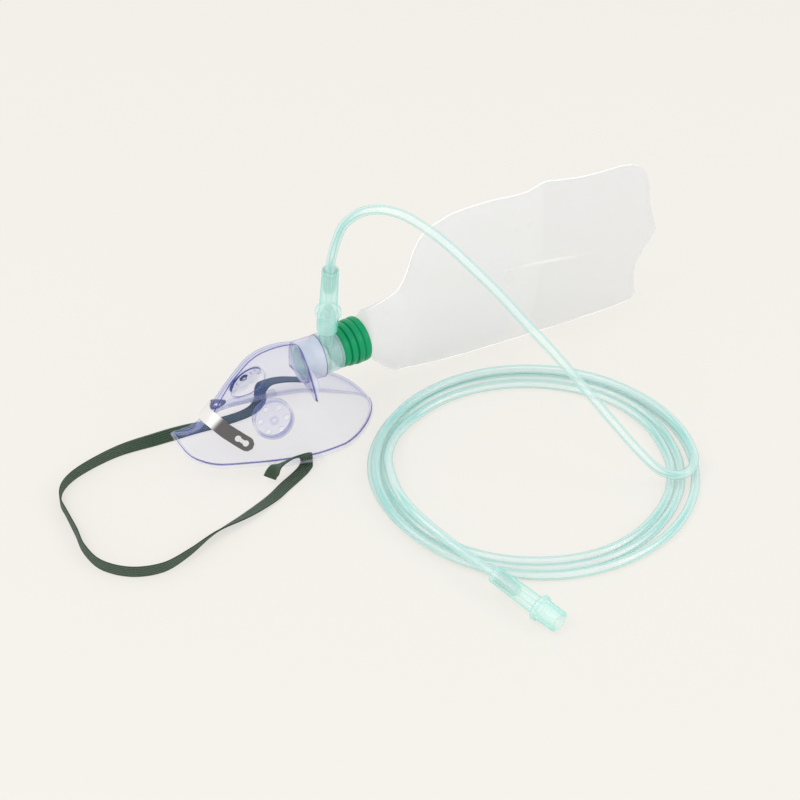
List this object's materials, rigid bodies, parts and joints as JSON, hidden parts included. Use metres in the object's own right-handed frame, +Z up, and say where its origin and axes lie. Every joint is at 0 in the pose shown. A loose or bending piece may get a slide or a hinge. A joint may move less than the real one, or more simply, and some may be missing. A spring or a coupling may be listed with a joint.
{
  "type": "oxygen face mask",
  "caption": "Clear high concentration oxygen mask with valved vents, nose clip, elastic head strap, green ring, reservoir bag and coiled supply tubing with funnel connectors.",
  "frame": {"origin": "on the surface that the mask lies on, under the middle of the mask, strap and bag without the tubing", "axes": "+X along the mask's line of symmetry from nose to chin and on along the bag, +Z up out of the surface, the mask lying rim down"},
  "size_m": [0.4136, 0.2668, 0.1731],
  "materials": {
    "clear_shell": "soft clear vinyl with a violet cast",
    "flap_film": "thin clear film",
    "valve_film": "thin film",
    "bare_aluminium": "rolled",
    "strap_elastic": "woven elastic",
    "clear_connector": "clear moulding with a green cast",
    "green_ring": "moulded",
    "bag_film": "frosted film",
    "aqua_connector": "soft clear vinyl with an aqua cast",
    "aqua_tube": "soft clear vinyl with an aqua cast"
  },
  "bodies": {
    "root": {"mask_shell": "clear_shell", "nose_clip": "bare_aluminium", "exhalation_flap_near": "flap_film", "exhalation_flap_far": "flap_film", "head_strap": "strap_elastic", "valve_body": "clear_connector", "inlet_flap": "valve_film", "bag_ring": "green_ring", "reservoir_bag": "bag_film", "inlet_connector": "aqua_connector", "tubing_lead": "aqua_tube", "tubing_coil": "aqua_tube", "tubing_tail": "aqua_tube", "supply_connector": "aqua_connector"}
  },
  "joints": []
}
